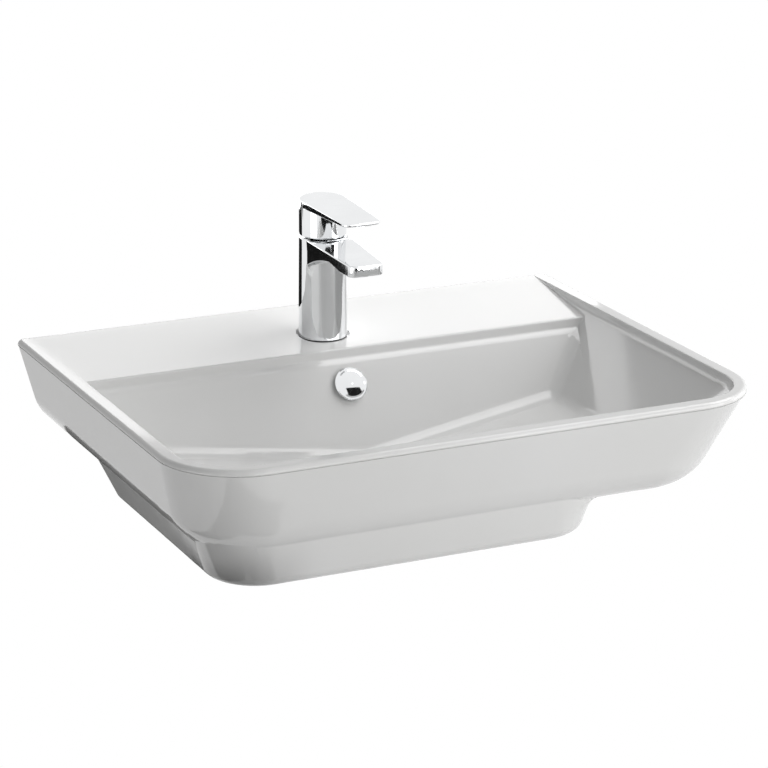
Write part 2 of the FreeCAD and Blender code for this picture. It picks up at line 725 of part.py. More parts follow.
def mixer_piece(label, x="0", y="0", z="0"):
    return new_body(label, x, f"-tap_back + {y}", f"{LANDING} + {z}")


def tongue_flanks(body, name, reach, half_tip, top):
    """The outline to cut away around a tongue that narrows from the hub to its round tip."""
    flanks = new_sketch(body, name, "XY_Plane", top)
    outline(flanks, [
        ("-mixer_radius + 0.2", "0"),
        ("-mixer_radius * 2", "0"),
        ("-mixer_radius * 2", f"-{reach} - 10"),
        ("mixer_radius * 2", f"-{reach} - 10"),
        ("mixer_radius * 2", "0"),
        ("mixer_radius - 0.2", "0"),
        (half_tip, f"-{reach} + 9", "9.5", "hollow"),
        (f"{half_tip} - 7.5", f"-{reach} + 1.5", f"{half_tip} * 5", "hollow"),
        (f"-{half_tip} + 7.5", f"-{reach} + 1.5", "9.5", "hollow"),
        (f"-{half_tip}", f"-{reach} + 9"),
    ])
    return flanks


SPOUT_TIP = "(mixer_height - spout_fall)"
SPOUT_FOOT = "(mixer_height - spout_fall - spout_nose)"
mixer = mixer_piece("mixer_body")
spout = new_sketch(mixer, "spout_side", "YZ_Plane")
outline(spout, [
    ("-mixer_radius / 2", "mixer_height"),
    ("-spout_reach + 1.5", SPOUT_TIP, "(spout_nose + 4)"),
    ("-spout_reach + 2.5", SPOUT_FOOT),
    ("-outlet_reach + outlet_radius + 1.3", SPOUT_FOOT),
    ("-spout_reach * 0.55", "mixer_height - spout_fall / 2 - spout_middle", "spout_reach * 1.1", "hollow"),
    ("-mixer_radius / 2", "mixer_height - spout_nose * 2.4"),
])
extrude(mixer, "Pad", spout, "mixer_radius * 2 - 0.4", both_ways=True)
spout_flanks = tongue_flanks(mixer, "spout_flanks", "spout_reach", "spout_half_tip", "mixer_height + 1")
extrude(mixer, "Pocket", spout_flanks, "mixer_height / 2")
turn(mixer, "Revolution", "column", [
    ("0", "base_seal"),
    ("mixer_foot_radius", "base_seal"),
    ("mixer_radius", "mixer_height - 0.6"),
    ("mixer_radius - 0.6", "mixer_height"),
    ("0", "mixer_height"),
])
shank = new_sketch(mixer, "shank", "XY_Plane", "-shank_depth")
circle(shank, "shank_radius")
extrude(mixer, "Pad", shank, "shank_depth + base_seal * 2")
hole(mixer, "cartridge_well", "cartridge_bore", "mixer_height + 1", "mixer_height + 1 - cartridge_seat")
hole(mixer, "nut_well", "nut_bore", "mixer_height + 1", "nut_depth + 1")
for side, sign in (("left", "-"), ("right", "")):
    hole(mixer, f"{side}_port", "port_radius", "port_depth - shank_depth", "port_depth",
         f"{sign}port_offset", "-port_offset / 2")
    way = new_sketch(mixer, f"{side}_way", "XY_Plane", "0")
    circle(way, "port_radius * 0.7", f"{sign}port_offset", "-port_offset / 2")
    extrude(mixer, "Pocket", way, "cartridge_seat + 1", reverse=True)
hole(mixer, "stud_thread", "stud_radius + close_fit", "port_depth - shank_depth", "port_depth",
     "0", "stud_back")
passage = new_sketch(mixer, "spout_passage", "YZ_Plane")
outline(passage, [
    ("-cartridge_bore + 1", "mixer_height - 15"),
    ("-spout_reach * 0.55", "mixer_height - spout_fall / 2 - spout_middle + 6.6"),
    ("-outlet_reach", f"{SPOUT_FOOT} + outlet_depth"),
    ("-outlet_reach", f"{SPOUT_FOOT} + outlet_depth - 3.2"),
    ("-spout_reach * 0.55", "mixer_height - spout_fall / 2 - spout_middle + 2.6"),
    ("-cartridge_bore + 1", "mixer_height - 20"),
][::-1])
extrude(mixer, "Pocket", passage, "cartridge_bore", both_ways=True)
hole(mixer, "outlet", "outlet_radius", f"{SPOUT_FOOT} + outlet_depth", "outlet_depth * 2",
     "0", "-outlet_reach")

base_seal = mixer_piece("mixer_base_seal")
turn(base_seal, "Revolution", "base_seal_section",
     step_outline("tap_hole_radius", "mixer_foot_radius - 0.8", "0", "base_seal"))

aerator = mixer_piece("aerator_housing", "0", "-outlet_reach", SPOUT_FOOT)
turn(aerator, "Revolution", "aerator_ring", [
    ("outlet_radius - 2.2", "-1.2"),
    ("outlet_radius - 0.6", "-1.2"),
    ("outlet_radius - close_fit", "-0.6"),
    ("outlet_radius - close_fit", "outlet_depth - 1.5"),
    ("outlet_radius - 2.2", "outlet_depth - 1.5"),
])
insert = mixer_piece("aerator_insert", "0", "-outlet_reach", SPOUT_FOOT)
mesh = new_sketch(insert, "insert_disc", "XY_Plane", "-0.4")
circle(mesh, "outlet_radius - 2.2 - close_fit")
extrude(insert, "Pad", mesh, "outlet_depth - 2")
jets = new_sketch(insert, "insert_jets", "XY_Plane", "outlet_depth")
circle(jets, "0.9")
for ring, count in ((2.9, 6), (5.6, 12)):
    for step in range(count):
        turn_by = f"{360 / count * step} deg"
        circle(jets, "0.9", f"{ring} * cos({turn_by})", f"{ring} * sin({turn_by})")
extrude(insert, "Pocket", jets, "outlet_depth * 2")
aerator_seal = mixer_piece("aerator_seal", "0", "-outlet_reach", SPOUT_FOOT)
turn(aerator_seal, "Revolution", "aerator_seal_section",
     step_outline("outlet_radius - 3", "outlet_radius - close_fit", "outlet_depth - 1.5", "outlet_depth"))

# --- cartridge ------------------------------------------------------------------------

SEAL_TOP = "(cartridge_seat + 1.5)"
BASE_TOP = "(cartridge_seat + 7)"
DISC_TOP = "(cartridge_seat + 7 + disc_thickness)"
MOVER_TOP = "(cartridge_seat + 7 + disc_thickness * 2)"
NUT_FLOOR = "(mixer_height - nut_depth)"
DISC_REACH = "((pivot_height - ball_height) * sin(lever_travel * 1deg) / 2)"

port_seals = mixer_piece("cartridge_seals")
seal_rings = new_sketch(port_seals, "seal_rings", "XY_Plane", "cartridge_seat")
for sign in ("-", ""):
    circle(seal_rings, "port_radius * 0.7 + 1.6", f"{sign}port_offset", "-port_offset / 2")
    circle(seal_rings, "port_radius * 0.7", f"{sign}port_offset", "-port_offset / 2")
extrude(port_seals, "Pad", seal_rings, f"{SEAL_TOP} - cartridge_seat")


def port_holes(body, name, start):
    ports = new_sketch(body, name, "XY_Plane", start)
    for sign in ("-", ""):
        circle(ports, "port_radius * 0.7", f"{sign}port_offset", "-port_offset / 2")
    circle(ports, "port_radius * 0.7", "0", "port_offset")
    extrude(body, "Pocket", ports, "cartridge_seat")


cartridge_base = mixer_piece("cartridge_base")
turn(cartridge_base, "Revolution", "base_section",
     step_outline("0", "cartridge_bore - 2", SEAL_TOP, BASE_TOP)[1:] + [("0", SEAL_TOP)])
port_holes(cartridge_base, "base_ports", BASE_TOP)

fixed_disc = mixer_piece("fixed_disc")
fixed_outline = new_sketch(fixed_disc, "fixed_outline", "XY_Plane", BASE_TOP)
circle(fixed_outline, "neck_radius")
extrude(fixed_disc, "Pad", fixed_outline, "disc_thickness")
port_holes(fixed_disc, "fixed_ports", DISC_TOP)

moving_disc = mixer_piece("moving_disc")
moving_outline = new_sketch(moving_disc, "moving_outline", "XY_Plane", DISC_TOP)
circle(moving_outline, "disc_radius", "0", DISC_REACH)
extrude(moving_disc, "Pad", moving_outline, "disc_thickness")
hole(moving_disc, "mixing_chamber", "disc_radius / 2", f"{DISC_TOP} + disc_thickness / 2", "disc_thickness",
     "0", DISC_REACH)

carrier = mixer_piece("disc_carrier")
carrier_outline = new_sketch(carrier, "carrier_outline", "XY_Plane", MOVER_TOP)
circle(carrier_outline, "disc_radius + 1", "0", DISC_REACH)
extrude(carrier, "Pad", carrier_outline, f"ball_height + 1.1 - {MOVER_TOP}")
socket = new_sketch(carrier, "ball_socket", "XY_Plane", "ball_height - ball_radius - 0.5")
circle(socket, "ball_radius + free_gap")
extrude(carrier, "Pocket", socket, "ball_radius * 4", reverse=True)

CEILING = f"({NUT_FLOOR} - 4)"
housing_wall = mixer_piece("cartridge_housing")
turn(housing_wall, "Revolution", "housing_section", [
    ("neck_radius + 0.7", BASE_TOP),
    ("cartridge_bore - 0.6", BASE_TOP),
    ("cartridge_bore - 0.6", NUT_FLOOR),
    ("neck_radius", NUT_FLOOR),
    ("neck_radius", "pivot_height + 4"),
    ("swivel_radius + close_fit", "pivot_height + 4"),
    ("swivel_radius + close_fit", CEILING),
    ("neck_radius + 0.7", CEILING),
])

FLANGE_SEAT = "(ball_height + 1.5)"
swivel = mixer_piece("cartridge_swivel")
turn(swivel, "Revolution", "swivel_section", [
    ("0", FLANGE_SEAT),
    ("neck_radius", FLANGE_SEAT),
    ("neck_radius", f"{CEILING} - free_gap"),
    ("swivel_radius", f"{CEILING} - free_gap"),
    ("swivel_radius", "pivot_height + 5"),
    ("0", "pivot_height + 5"),
])
slot = new_sketch(swivel, "swivel_slot", "XY_Plane", "pivot_height + 6")
outline(slot, [
    ("-swivel_slot / 2", "-neck_radius - 1"),
    ("swivel_slot / 2", "-neck_radius - 1"),
    ("swivel_slot / 2", "neck_radius + 1"),
    ("-swivel_slot / 2", "neck_radius + 1"),
])
extrude(swivel, "Pocket", slot, f"pivot_height + 6 - {CEILING} + free_gap")
SWING = "((pivot_height - ball_height) * sin(lever_travel * 1deg))"
throat = new_sketch(swivel, "swivel_throat", "XY_Plane", "pivot_height")
outline(throat, [
    ("-swivel_slot / 2", f"-{SWING} - 2.5"),
    ("swivel_slot / 2", f"-{SWING} - 2.5"),
    ("swivel_slot / 2", "2.5"),
    ("-swivel_slot / 2", "2.5"),
])
extrude(swivel, "Pocket", throat, "pivot_height / 2")


def cross_pin(body, name, kind, radius, length):
    """A round bar or hole along X through the lever's pivot."""
    section = new_sketch(body, name, "YZ_Plane")
    circle(section, radius, "0", "pivot_height")
    return extrude(body, kind, section, length, both_ways=True)


cross_pin(swivel, "cheek_holes", "Pocket", "pin_radius + close_fit", "swivel_radius * 3")
pin = mixer_piece("cartridge_pin")
cross_pin(pin, "pin_section", "Pad", "pin_radius", "swivel_radius * 2 - 2.5")

SQUARE_FOOT = "(pivot_height + 8)"
lever_stem = mixer_piece("lever_stem")
turn(lever_stem, "Revolution", "lever_stem_section", [
    ("0", "ball_height - ball_radius", "ball_radius"),
    ("1.6", "ball_height + sqrt(ball_radius ^ 2 - 1.6 ^ 2)"),
    ("1.6", "ball_height + 4"),
    ("3", "ball_height + 5.5"),
    ("3", SQUARE_FOOT),
    ("0", SQUARE_FOOT),
])


def square(sketch, side):
    outline(sketch, [
        (f"-({side}) / 2", f"-({side}) / 2"),
        (f"({side}) / 2", f"-({side}) / 2"),
        (f"({side}) / 2", f"({side}) / 2"),
        (f"-({side}) / 2", f"({side}) / 2"),
    ])


SQUARE_TOP = "(lever_top - 12)"
stem_end = new_sketch(lever_stem, "stem_square_end", "XY_Plane", SQUARE_FOOT)
square(stem_end, "stem_square")
extrude(lever_stem, "Pad", stem_end, f"{SQUARE_TOP} - {SQUARE_FOOT}")
cross_pin(lever_stem, "stem_pin_hole", "Pocket", "pin_radius + close_fit", "stem_square * 2")

nut = mixer_piece("cartridge_nut")
turn(nut, "Revolution", "nut_section",
     step_outline("neck_radius + free_gap", "nut_bore - close_fit", NUT_FLOOR, "mixer_height"))
nut_head = new_sketch(nut, "nut_head", "XY_Plane", "mixer_height")
hexagon(nut_head, "nut_bore - 1.6")
extrude(nut, "Pad", nut_head, "nut_depth / 2")
hole(nut, "nut_opening", "neck_radius + free_gap", "mixer_height * 2", "mixer_height * 2")

# --- lever: flat handle over a round hub, hollow around the cartridge -------------------

HUB_FOOT = "(mixer_height + lever_gap)"
CAVITY_TOP = "(pivot_height + 11)"
handle = mixer_piece("lever_handle")
BLADE_FRONT = "(lever_top - lever_fall)"
blade = new_sketch(handle, "blade_side", "YZ_Plane")
outline(blade, [
    ("0", "lever_top"),
    ("-lever_reach", "lever_top"),
    ("-lever_reach", f"{BLADE_FRONT} - lever_thin + 1"),
    ("-lever_reach + 1.2", f"{BLADE_FRONT} - lever_thin"),
    ("-mixer_radius", "lever_top - lever_thick"),
    ("0", "lever_top - lever_thick"),
])
extrude(handle, "Pad", blade, "mixer_radius * 2 - 0.4", both_ways=True)


blade_flanks = tongue_flanks(handle, "blade_flanks", "lever_reach", "lever_half_tip", "lever_top + 1")
extrude(handle, "Pocket", blade_flanks, "lever_thick * 2")
turn(handle, "Revolution", "hub_section", [
    ("0", HUB_FOOT),
    ("mixer_radius - 0.8", HUB_FOOT),
    ("mixer_radius", f"{HUB_FOOT} + 0.8"),
    ("mixer_radius", "lever_top"),
    ("0", "lever_top"),
])
top_slope = new_sketch(handle, "top_slope", "YZ_Plane")
outline(top_slope, [
    ("mixer_radius", "lever_top"),
    ("mixer_radius", "lever_top + 1"),
    ("-lever_reach - 1", "lever_top + 1"),
    ("-lever_reach - 1", BLADE_FRONT),
])
extrude(handle, "Pocket", top_slope, "mixer_radius * 3", both_ways=True)
hole(handle, "hub_cavity", "hub_bore", CAVITY_TOP, "mixer_height")
stem_socket = new_sketch(handle, "stem_socket", "XY_Plane", f"{SQUARE_TOP} + 1")
square(stem_socket, "stem_square + close_fit * 2")
extrude(handle, "Pocket", stem_socket, "lever_top / 2")


def relief(y):
    """Height that keeps the hub off the mixer's top when the lever is fully lifted."""
    climb = f"mixer_height + lever_gap / 2 - pivot_height + ({y}) * sin(lever_travel * 1deg)"
    return f"(pivot_height + ({climb}) / cos(lever_travel * 1deg))"


rear_relief = new_sketch(handle, "rear_relief", "YZ_Plane")
outline(rear_relief, [
    ("-8", f"{HUB_FOOT} - 8"),
    ("mixer_radius * 1.5", f"{HUB_FOOT} - 8"),
    ("mixer_radius * 1.5", relief("mixer_radius * 1.5")),
    ("-8", relief("-8")),
])
extrude(handle, "Pocket", rear_relief, "mixer_radius * 3", both_ways=True)

SCREW_HEIGHT = f"({CAVITY_TOP} + 6)"


def bar_along_y(body, name, kind, radius, start, length):
    """A round bar that runs forward from its start, or a hole that runs back from it."""
    section = new_sketch(body, name, "XZ_Plane", f"-({start})")
    circle(section, radius, "0", SCREW_HEIGHT)
    return extrude(body, kind, section, length)


bar_along_y(handle, "screw_hole", "Pocket", "2.5 + close_fit", "stem_square / 2", "mixer_radius")
bar_along_y(handle, "screw_plug_hole", "Pocket", "3 + close_fit", "mixer_radius - 4", "mixer_radius")
grub = mixer_piece("lever_grub_screw")
bar_along_y(grub, "grub_section", "Pad", "2.5", "stem_square / 2 + close_fit + 8", "8")
grub_key = new_sketch(grub, "grub_key", "XZ_Plane", "-(stem_square / 2 + close_fit + 5)")
hexagon(grub_key, "1.4", "0", SCREW_HEIGHT)
extrude(grub, "Pocket", grub_key, "8")
screw_plug = mixer_piece("lever_screw_plug")
bar_along_y(screw_plug, "plug_disc", "Pad", "3", "mixer_radius - 0.3", "3.2")

# --- mixer fixings under the deck -------------------------------------------------------

WASHER_TOP = "(-deck_thickness)"
PLATE_TOP = "(-deck_thickness - 2)"
PLATE_FOOT = "(-deck_thickness - 5)"


def horseshoe(label, radius, top, thickness):
    """A round clamping plate, open to the front for the hoses and drilled for the stud."""
    body = mixer_piece(label)
    disc = new_sketch(body, label + "_disc", "XY_Plane", top)
    circle(disc, radius)
    pad = extrude(body, "Pad", disc, thickness, reverse=True)
    gate = new_sketch(body, label + "_gate", "XY_Plane", top)
    outline(gate, [
        ("-shank_radius + 3", f"-{radius} - 1"),
        ("shank_radius - 3", f"-{radius} - 1"),
        ("shank_radius - 3", "1"),
        ("-shank_radius + 3", "1"),
    ])
    extrude(body, "Pocket", gate, "deck_thickness")
    hole(body, label + "_hole", "stud_radius + free_gap", top, "deck_thickness", "0", "stud_back")


horseshoe("fixing_rubber_washer", "22", WASHER_TOP, "2")
horseshoe("fixing_plate", "21.5", PLATE_TOP, "3")
stud = mixer_piece("fixing_stud")
stud_section = new_sketch(stud, "stud_section", "XY_Plane", "port_depth - shank_depth - 0.3")
circle(stud_section, "stud_radius", "0", "stud_back")
extrude(stud, "Pad", stud_section, "stud_length", reverse=True)
fixing_nut = mixer_piece("fixing_nut")
nut_hexagon = new_sketch(fixing_nut, "fixing_nut_hexagon", "XY_Plane", PLATE_FOOT)
hexagon(nut_hexagon, "stud_radius * 1.875", "0", "stud_back")
extrude(fixing_nut, "Pad", nut_hexagon, "stud_radius * 1.6", reverse=True)
hole(fixing_nut, "fixing_nut_thread", "stud_radius + close_fit", PLATE_FOOT, "deck_thickness * 2",
     "0", "stud_back")

# --- checks and the exported pieces ---------------------------------------------------

doc.recompute()
for item in doc.Objects:
    if "Invalid" in item.State or "Error" in item.State:
        raise ValueError(f"{item.Label} could not be built")
CUTTERS = (shell, bowl, hollowed)
pieces = [item for item in doc.Objects
          if item.TypeId in ("PartDesign::Body", "Part::Cut") and item not in CUTTERS]
for piece in pieces:
    if piece.Shape.isNull() or not piece.Shape.isValid():
        raise ValueError(f"{piece.Label} has no sound solid")
os.makedirs("parts", exist_ok=True)
for piece in pieces:
    piece.Shape.exportStep(f"parts/{piece.Label}.step")
    print(piece.Label, len(piece.Shape.Solids), round(piece.Shape.Volume / 1000, 2), "ml")
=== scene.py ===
# %% [markdown]
# # Semi recessed basin with a single-lever mixer
# This lesson dresses a washbasin whose solids already exist. The solids come in as a
# fixed frame, one object for each real piece: the ceramic, the mixer, its lever, the
# overflow and the waste. The work here is to give each piece its finish, to soften the
# edges of the ceramic as the glaze does, and to set up a camera and a plain soft studio.
# Everything is in metres, with +Z up and -Y towards the person who washes their hands.

# %% Load the frame
import json
import math

import bmesh
import bpy
from mathutils import Matrix, Vector
from mathutils.bvhtree import BVHTree

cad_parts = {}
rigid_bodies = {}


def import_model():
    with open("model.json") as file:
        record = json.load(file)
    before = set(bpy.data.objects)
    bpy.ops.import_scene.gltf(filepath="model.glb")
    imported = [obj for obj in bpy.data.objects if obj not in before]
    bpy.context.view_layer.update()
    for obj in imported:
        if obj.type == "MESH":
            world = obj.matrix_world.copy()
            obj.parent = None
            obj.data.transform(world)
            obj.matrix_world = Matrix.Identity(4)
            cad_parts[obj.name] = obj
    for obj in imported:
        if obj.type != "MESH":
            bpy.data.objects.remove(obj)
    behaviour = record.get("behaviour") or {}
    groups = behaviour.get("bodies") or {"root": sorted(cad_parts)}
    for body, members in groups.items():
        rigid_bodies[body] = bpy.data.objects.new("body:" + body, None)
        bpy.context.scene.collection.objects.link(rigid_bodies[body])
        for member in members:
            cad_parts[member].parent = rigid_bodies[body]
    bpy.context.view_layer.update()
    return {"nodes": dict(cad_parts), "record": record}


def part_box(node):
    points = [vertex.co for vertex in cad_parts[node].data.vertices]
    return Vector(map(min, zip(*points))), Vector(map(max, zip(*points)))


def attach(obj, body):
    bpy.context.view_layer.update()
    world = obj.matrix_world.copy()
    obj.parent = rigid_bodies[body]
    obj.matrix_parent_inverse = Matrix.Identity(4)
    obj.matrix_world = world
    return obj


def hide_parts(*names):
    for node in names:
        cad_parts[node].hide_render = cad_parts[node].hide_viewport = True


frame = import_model()
rim_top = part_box("basin")[1][2]
print("pieces in the frame:", len(frame["nodes"]))

# %% [markdown]
# ## Camera
# The photograph was taken with a long lens from the left and above the rim. The straight
# edges of the rim, which measures 600 by 470 mm, fix where the camera stood and how long
# its lens was. A long lens keeps the far side of the basin almost as large as the near
# side, so a wrong lens would show at once in the rim.

# %% Place the camera
FRAME_PIXELS = 768
FOCAL_PIXELS = 2995.9
SENSOR_MM = 36
AZIMUTH = math.radians(-25.27)
ELEVATION = math.radians(17.64)
ROLL = math.radians(0.24)
CAMERA_PLACE = Vector((-1.1938, -2.7577, 0.9162))

backwards = Vector((math.sin(AZIMUTH) * math.cos(ELEVATION),
                    -math.cos(AZIMUTH) * math.cos(ELEVATION),
                    math.sin(ELEVATION)))
level_right = Vector((0, 0, 1)).cross(backwards).normalized()
level_up = backwards.cross(level_right)
right = level_right * math.cos(ROLL) + level_up * math.sin(ROLL)
up = level_up * math.cos(ROLL) - level_right * math.sin(ROLL)

camera_data = bpy.data.cameras.new("photo_camera")
camera_data.sensor_width = SENSOR_MM
camera_data.lens = FOCAL_PIXELS / FRAME_PIXELS * SENSOR_MM
camera = bpy.data.objects.new("photo_camera", camera_data)
bpy.context.scene.collection.objects.link(camera)
turned = Matrix((right, up, backwards)).transposed().to_4x4()
camera.matrix_world = Matrix.Translation(CAMERA_PLACE) @ turned
bpy.context.scene.camera = camera
print("lens in mm:", round(camera_data.lens, 1))

# %% [markdown]
# ## Studio
# A white basin on a white ground shows its shape only through soft greys. The floor lies
# far below it, as below a basin on a wall, and the world gives a weak even light. Both are
# plain white for the camera and in mirror reflections, but give the basin much less light
# than so white a room would, which keeps the greys.

# %% Floor and world
FLOOR_BELOW_RIM = 0.85
FLOOR_WIDTH = 16
FLOOR_COLOUR = (0.42, 0.42, 0.42, 1)
FLOOR_ROUGHNESS = 0.9
WORLD_LEVEL = 0.22


def white_when_seen(tree, surface):
    """Show a surface as plain white to the camera and in reflections."""
    rays = tree.nodes.new("ShaderNodeLightPath")
    seen = rays.outputs["Is Camera Ray"]
    for kind in ("Is Glossy Ray", "Is Transmission Ray"):
        either = tree.nodes.new("ShaderNodeMath")
        either.operation = "MAXIMUM"
        tree.links.new(seen, either.inputs[0])
        tree.links.new(rays.outputs[kind], either.inputs[1])
        seen = either.outputs[0]
    glow = tree.nodes.new("ShaderNodeEmission")
    glow.inputs["Strength"].default_value = 1
    mix = tree.nodes.new("ShaderNodeMixShader")
    tree.links.new(seen, mix.inputs[0])
    tree.links.new(surface, mix.inputs[1])
    tree.links.new(glow.outputs[0], mix.inputs[2])
    return mix.outputs[0]


bpy.ops.mesh.primitive_plane_add(size=FLOOR_WIDTH, location=(0, 0, rim_top - FLOOR_BELOW_RIM))
floor = bpy.context.object
floor.name = "studio_floor"
floor_finish = bpy.data.materials.new("studio_floor")
floor_finish.use_nodes = True
floor_tree = floor_finish.node_tree
floor_shader = floor_tree.nodes["Principled BSDF"]
floor_shader.inputs["Base Color"].default_value = FLOOR_COLOUR
floor_shader.inputs["Roughness"].default_value = FLOOR_ROUGHNESS
floor_surface = white_when_seen(floor_tree, floor_shader.outputs[0])
floor_tree.links.new(floor_surface, floor_tree.nodes["Material Output"].inputs["Surface"])
floor.data.materials.append(floor_finish)

world = bpy.data.worlds.new("pale_studio")
bpy.context.scene.world = world
world.use_nodes = True
world_tree = world.node_tree
sky = world_tree.nodes["Background"]
sky.inputs["Color"].default_value = (1, 1, 1, 1)
sky.inputs["Strength"].default_value = WORLD_LEVEL
world_surface = white_when_seen(world_tree, sky.outputs[0])
world_tree.links.new(world_surface, world_tree.nodes["World Output"].inputs["Surface"])
print("floor at", round(floor.location.z, 3), "m")

# %% [markdown]
# ## Lamps
# The front and the left flank are brighter than the inner walls, and the inner wall on the
# right is the darkest face above the foot, so most of the light comes from the right and
# the front. A weak lamp low on the left keeps the flank from falling into shade.

# %% Hang the lamps
BASIN_MIDDLE = Vector((0, -0.25, 0))
# Each lamp's name, place, width in metres and power in watts.
LAMPS = (
    ("high_right_lamp", (1.2, -0.3, 1.5), 1.3, 18),
    ("front_right_lamp", (1.5, -2.0, 0.5), 1.4, 18),
    ("low_front_lamp", (0.3, -2.2, -0.3), 1.2, 10.5),
    ("right_lamp", (2.2, -0.2, 0.3), 1.2, 5),
    ("low_left_lamp", (-1.8, -0.8, -0.4), 1.0, 5),
)


def hang_lamp(name, place, width, power):
    """A square area lamp at a place, turned towards the middle of the basin."""
    data = bpy.data.lights.new(name, "AREA")
    data.shape = "SQUARE"
    data.size = width
    data.energy = power
    lamp = bpy.data.objects.new(name, data)
    bpy.context.scene.collection.objects.link(lamp)
    lamp.location = place
    lamp.rotation_euler = (BASIN_MIDDLE - Vector(place)).to_track_quat("-Z", "Y").to_euler()


for lamp_facts in LAMPS:
    hang_lamp(*lamp_facts)
print("lamps:", len(bpy.data.lights))

# %% [markdown]
# ## Dark cards and a glowing one
# Chrome in a white room is white and loses its shape. Photographers stand black cards just
# outside the frame, and the metal mirrors them as the dark lines that draw its edges.
# Three black cards here are mirrored and nothing else. Three more stand low round the left
# side, close to the ceramic, and also keep light off the foot, as the deep shade there
# shows. The deck mirrors what is low behind it, so one glowing card lifts it towards white.
# It is low enough for the top of the tap to miss it. The camera sees none of the cards.

# %% Stand the cards
CARD_BLACK = (0.02, 0.02, 0.02, 1)
CARD_GLOW = 2.8
# Each card's name and its lowest and highest corner.
MIRRORED_CARDS = (
    ("card_behind", (-0.40, 0.45, -0.14), (0.20, 0.46, 0.06)),
    ("card_in_front", (-0.75, -1.31, -0.6), (0.55, -1.30, -0.12)),
    ("card_front_right", (0.40, -1.31, 0.52), (0.90, -1.30, 0.95)),
)
SHADING_CARDS = (
    ("card_low_rear", (-0.288, 0.030, -0.42), (-0.18, 0.035, -0.08)),
    ("card_low_left", (-0.305, -0.51, -0.20), (-0.300, -0.36, -0.080)),
    ("card_low_corner", (-0.305, -0.515, -0.20), (-0.17, -0.51, -0.066)),
)
GLOWING_CARD = ("card_glow", (-0.25, 0.20, 0.10), (0.48, 0.205, 0.245))


def card_finish(name, glow):
    """A matt black card, or one that glows when a glow above nought is given."""
    material = bpy.data.materials.new(name)
    material.use_nodes = True
    shader = material.node_tree.nodes["Principled BSDF"]
    shader.inputs["Base Color"].default_value = CARD_BLACK
    shader.inputs["Roughness"].default_value = 1
    shader.inputs["Specular IOR Level"].default_value = 0
    shader.inputs["Emission Color"].default_value = (1, 1, 1, 1)
    shader.inputs["Emission Strength"].default_value = glow
    return material


def stand_card(name, low, high, material, mirrored_only=True):
    """A thin card between two corners, which the camera never sees."""
    middle = (Vector(low) + Vector(high)) / 2
    bpy.ops.mesh.primitive_cube_add(size=1, location=middle)
    card = bpy.context.object
    card.name = name
    card.scale = Vector(high) - Vector(low)
    bpy.ops.object.transform_apply(location=True, rotation=False, scale=True)
    card.data.materials.append(material)
    card.visible_camera = False
    card.visible_diffuse = not mirrored_only
    card.visible_shadow = not mirrored_only


black = card_finish("card_black", 0)
glowing = card_finish("card_glowing", CARD_GLOW)
for name, low, high in MIRRORED_CARDS:
    stand_card(name, low, high, black)
for name, low, high in SHADING_CARDS:
    stand_card(name, low, high, black, mirrored_only=False)
stand_card(*GLOWING_CARD, glowing)

# %% [markdown]
# ## A finish from nodes
# Real glaze, plate and rubber are never one flat colour. Each finish below has a broad
# noise that moves the colour a little and a finer one that moves the roughness. All but
# the chrome also have one that raises a slight bump. They read Object coordinates in
# metres, so their scale is real and they stay put from every side.

# %% Finish helper
# Most of a noise lies within these spans, which are stretched over the whole change.
COLOUR_SPAN = (0.35, 0.65)
GRAIN_SPAN = (0.3, 0.7)
COLOUR_DETAIL = 3
GRAIN_DETAIL = 4
BUMP_DETAIL = 2


def noise(tree, scale, detail):
    """The output of a noise that reads Object coordinates."""
    place = tree.nodes.new("ShaderNodeTexCoord")
    cloud = tree.nodes.new("ShaderNodeTexNoise")
    cloud.inputs["Scale"].default_value = scale
    cloud.inputs["Detail"].default_value = detail
    tree.links.new(place.outputs["Object"], cloud.inputs["Vector"])
    return cloud.outputs["Fac"]


def finish(name, dark, light, rough, metallic=0.0, colour_scale=6, grain_scale=400, bump=0.0,
           bump_scale=900):
    """A material whose colour, roughness and bump vary slightly over the piece."""
    material = bpy.data.materials.new(name)
    material.use_nodes = True
    tree = material.node_tree
    shader = tree.nodes["Principled BSDF"]
    shader.inputs["Metallic"].default_value = metallic

    ramp = tree.nodes.new("ShaderNodeValToRGB")
    for stop, position, colour in zip(ramp.color_ramp.elements, COLOUR_SPAN, (dark, light)):
        stop.position = position
        stop.color = (*colour, 1)
    tree.links.new(noise(tree, colour_scale, COLOUR_DETAIL), ramp.inputs["Fac"])
    tree.links.new(ramp.outputs["Color"], shader.inputs["Base Color"])

    span = tree.nodes.new("ShaderNodeMapRange")
    span.inputs["From Min"].default_value = GRAIN_SPAN[0]
    span.inputs["From Max"].default_value = GRAIN_SPAN[1]
    span.inputs["To Min"].default_value = rough[0]
    span.inputs["To Max"].default_value = rough[1]
    tree.links.new(noise(tree, grain_scale, GRAIN_DETAIL), span.inputs["Value"])
    tree.links.new(span.outputs["Result"], shader.inputs["Roughness"])

    if bump:
        raised = tree.nodes.new("ShaderNodeBump")
        raised.inputs["Strength"].default_value = 1
        raised.inputs["Distance"].default_value = bump
        tree.links.new(noise(tree, bump_scale, BUMP_DETAIL), raised.inputs["Height"])
        tree.links.new(raised.outputs["Normal"], shader.inputs["Normal"])
    return material


# %% [markdown]
# ## The finishes of a basin and its fittings
# The glaze is a glassy white skin over white clay: very smooth, with a long-waved ripple
# from the way it runs in the kiln. Chrome plate is a mirror with fine polishing haze.
# Hidden pieces are brass, stainless steel, rubber, moulded plastic and lapped ceramic, each
# with the grain that its tool or mould leaves. One brass piece, the nut over the cartridge,
# shows in the gap under the lever, so it is plated like the tap.

